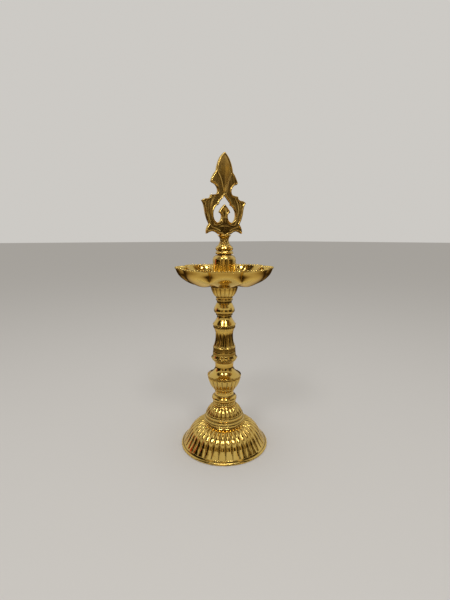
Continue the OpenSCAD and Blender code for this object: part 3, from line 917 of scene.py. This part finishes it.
def sheet(name, verts, faces, material):
    mesh = bpy.data.meshes.new(name)
    mesh.from_pydata(verts, [], faces)
    obj = place_object(name, mesh)
    mesh.materials.append(material)
    return obj


def only_reflected(obj):
    """Seen in the brass, but neither by the camera nor by the floor's light."""
    obj.visible_camera = False
    obj.visible_diffuse = False
    obj.visible_shadow = False
    return obj


def unlit(name, texture, scale):
    """An unlit material, with the texture that drives its colour and that colour's stops."""
    mat = bpy.data.materials.new(name)
    mat.use_nodes = True
    tree = mat.node_tree
    tree.nodes.clear()
    out, light, ramp, pattern, place, coords = (
        tree.nodes.new("ShaderNode" + kind)
        for kind in ("OutputMaterial", "Emission", "ValToRGB", texture, "Mapping", "TexCoord")
    )
    place.inputs["Scale"].default_value = scale
    link = tree.links.new
    link(coords.outputs["Object"], place.inputs["Vector"])
    link(place.outputs["Vector"], pattern.inputs["Vector"])
    link(pattern.outputs["Fac"], ramp.inputs["Fac"])
    link(ramp.outputs["Color"], light.inputs["Color"])
    link(light.outputs["Emission"], out.inputs["Surface"])
    return mat, pattern, ramp.color_ramp.elements


def glow(name, low, high, scale=(1, 1, 1), span=(0.40, 0.66)):
    """An unlit surface whose brightness drifts between two colours; span is where the noise turns over."""
    mat, noise, elements = unlit(name, "TexNoise", scale)
    noise.inputs["Scale"].default_value = 2.2
    noise.inputs["Detail"].default_value = 2
    for element, position, colour in zip(elements, span, (low, high)):
        element.position = position
        element.color = (*colour, 1)
    return mat


def falloff(name, reach, *stops):
    """An unlit surface coloured by its distance from the axis: stops are (metres, colour), nearest first."""
    mat, ball, elements = unlit(name, "TexGradient", (1 / reach, 1 / reach, 1 / reach))
    ball.gradient_type = "SPHERICAL"
    nearest, *between, farthest = stops
    for distance, colour in between:
        elements.new(1 - distance / reach).color = (*colour, 1)
    for index, (distance, colour) in ((0, farthest), (-1, nearest)):
        elements[index].position = 1 - distance / reach
        elements[index].color = (*colour, 1)
    return mat


def round_the_axis(distance, azimuth, height):
    """A place at that distance from the lamp's axis; azimuth is measured as the camera's is."""
    a = math.radians(azimuth)
    return (math.sin(a) * distance, -math.cos(a) * distance, height)


def band(rings, low=0.0, high=360.0, count=72):
    """A surface of revolution through (radius, height) rings, in metres, between two azimuths."""
    verts, faces = [], []
    for r, z in rings:
        verts += [round_the_axis(r, low + (high - low) * k / count, z) for k in range(count + 1)]
    for i in range(len(rings) - 1):
        for k in range(count):
            a, b = i * (count + 1) + k, (i + 1) * (count + 1) + k
            faces.append((a, a + 1, b + 1, b))
    return verts, faces


def area_light(name, location, size, power):
    """A light panel that faces the lamp's middle and is not seen by the camera."""
    data = bpy.data.lights.new(name, "AREA")
    data.shape = "RECTANGLE"
    data.size, data.size_y = size
    data.energy = power
    obj = place_object(name, data)
    obj.location = location
    obj.rotation_mode = "QUATERNION"
    obj.rotation_quaternion = (Vector(MIDDLE) - Vector(location)).to_track_quat("-Z", "Y")
    obj.visible_camera = False
    return obj


CAMERA_AZIMUTH, CAMERA_DISTANCE, CAMERA_HEIGHT, CAMERA_PITCH = -37.0, 0.4026, 0.2408, 9.72
LENS, SIDE_SHIFT = 21.74, 0.00117
MIDDLE = (0, 0, 0.16)
FLOOR_REACH = 20
WINDOW_DISTANCE, WINDOW_HEIGHT, WINDOW_TALL = 0.62, 0.92, 0.20
# The mirrored room: its wall's radius, and the table's hole under the lamp and where the table has gone dark.
WALL_R, TABLE_HOLE_R, TABLE_DARK_R, TABLE_Z = 1.15, 0.13, 0.46, 0.002

floor = [(x * FLOOR_REACH, y * FLOOR_REACH, 0) for x, y in ((-1, -1), (1, -1), (1, 1), (-1, 1))]
matt = plain("floor", (0.62, 0.605, 0.585), 0.9)
matt.node_tree.nodes["Principled BSDF"].inputs["Specular IOR Level"].default_value = 0.0
sheet("floor", floor, [(0, 1, 2, 3)], matt)

world = bpy.data.worlds.new("studio")
bpy.context.scene.world = world
world.use_nodes = True
world.node_tree.nodes["Background"].inputs["Color"].default_value = (0.98, 0.95, 0.90, 1)
world.node_tree.nodes["Background"].inputs["Strength"].default_value = 0.62

area_light("overhead", (0.0, 0.0, 1.4), size=(0.5, 0.5), power=1.8)
for name, turn, width in (("window_left", -27, 0.20), ("window_right", 21, 0.19)):
    spot = round_the_axis(WINDOW_DISTANCE, CAMERA_AZIMUTH + turn, WINDOW_HEIGHT)
    area_light(name, spot, size=(width, WINDOW_TALL), power=1.6)

# What the brass mirrors: a dark room on the camera's side and behind, pale gaps between, a table that
# darkens away from the lamp, and one red thing at the left.
room_wall = glow("room_wall", (0.010, 0.006, 0.002), (0.66, 0.50, 0.27), (1.6, 1.6, 0.3), (0.49, 0.62))
rise = [(WALL_R, 0.0), (WALL_R, 0.35), (1.12, 0.60)]
front = (CAMERA_AZIMUTH - 96, CAMERA_AZIMUTH + 96)
behind = (CAMERA_AZIMUTH + 158, CAMERA_AZIMUTH + 202)
for name, (low, high) in (("room_front", front), ("room_behind", behind)):
    only_reflected(sheet(name, *band(rise, low, high), room_wall))
eaves = glow("eaves", (0.012, 0.007, 0.003), (0.42, 0.27, 0.12), (3, 3, 1.5), (0.47, 0.62))
only_reflected(sheet("eaves", *band([(0.75, 0.64), (0.74, 0.93), (0.46, 1.18)], *front), eaves))
table = falloff(
    "table", 1.2, (TABLE_HOLE_R, (0.62, 0.58, 0.50)), (0.15, (0.62, 0.55, 0.42)), (0.26, (0.42, 0.34, 0.22)),
    (0.36, (0.20, 0.14, 0.07)), (TABLE_DARK_R, (0.035, 0.02, 0.008)),
)  # fmt: skip
table_rings = [(r, TABLE_Z) for r in (TABLE_HOLE_R, TABLE_DARK_R, WALL_R)]
only_reflected(sheet("table", *band(table_rings), table))
red = glow("red_card", (0.45, 0.02, 0.005), (0.6, 0.04, 0.01))
card = band([(1.0, 0.1), (1.0, 0.5)], CAMERA_AZIMUTH - 104, CAMERA_AZIMUTH - 94, 6)
only_reflected(sheet("red_card", *card, red))

camera = place_object("camera", bpy.data.cameras.new("camera"))
camera.data.lens = LENS
camera.data.sensor_width = 36
camera.data.shift_x = SIDE_SHIFT
camera.data.clip_start = 0.01
camera.location = round_the_axis(CAMERA_DISTANCE, CAMERA_AZIMUTH, CAMERA_HEIGHT)
camera.rotation_euler = (math.radians(90 - CAMERA_PITCH), 0, math.radians(CAMERA_AZIMUTH))
bpy.context.scene.camera = camera
bpy.context.scene.view_settings.view_transform = "Standard"
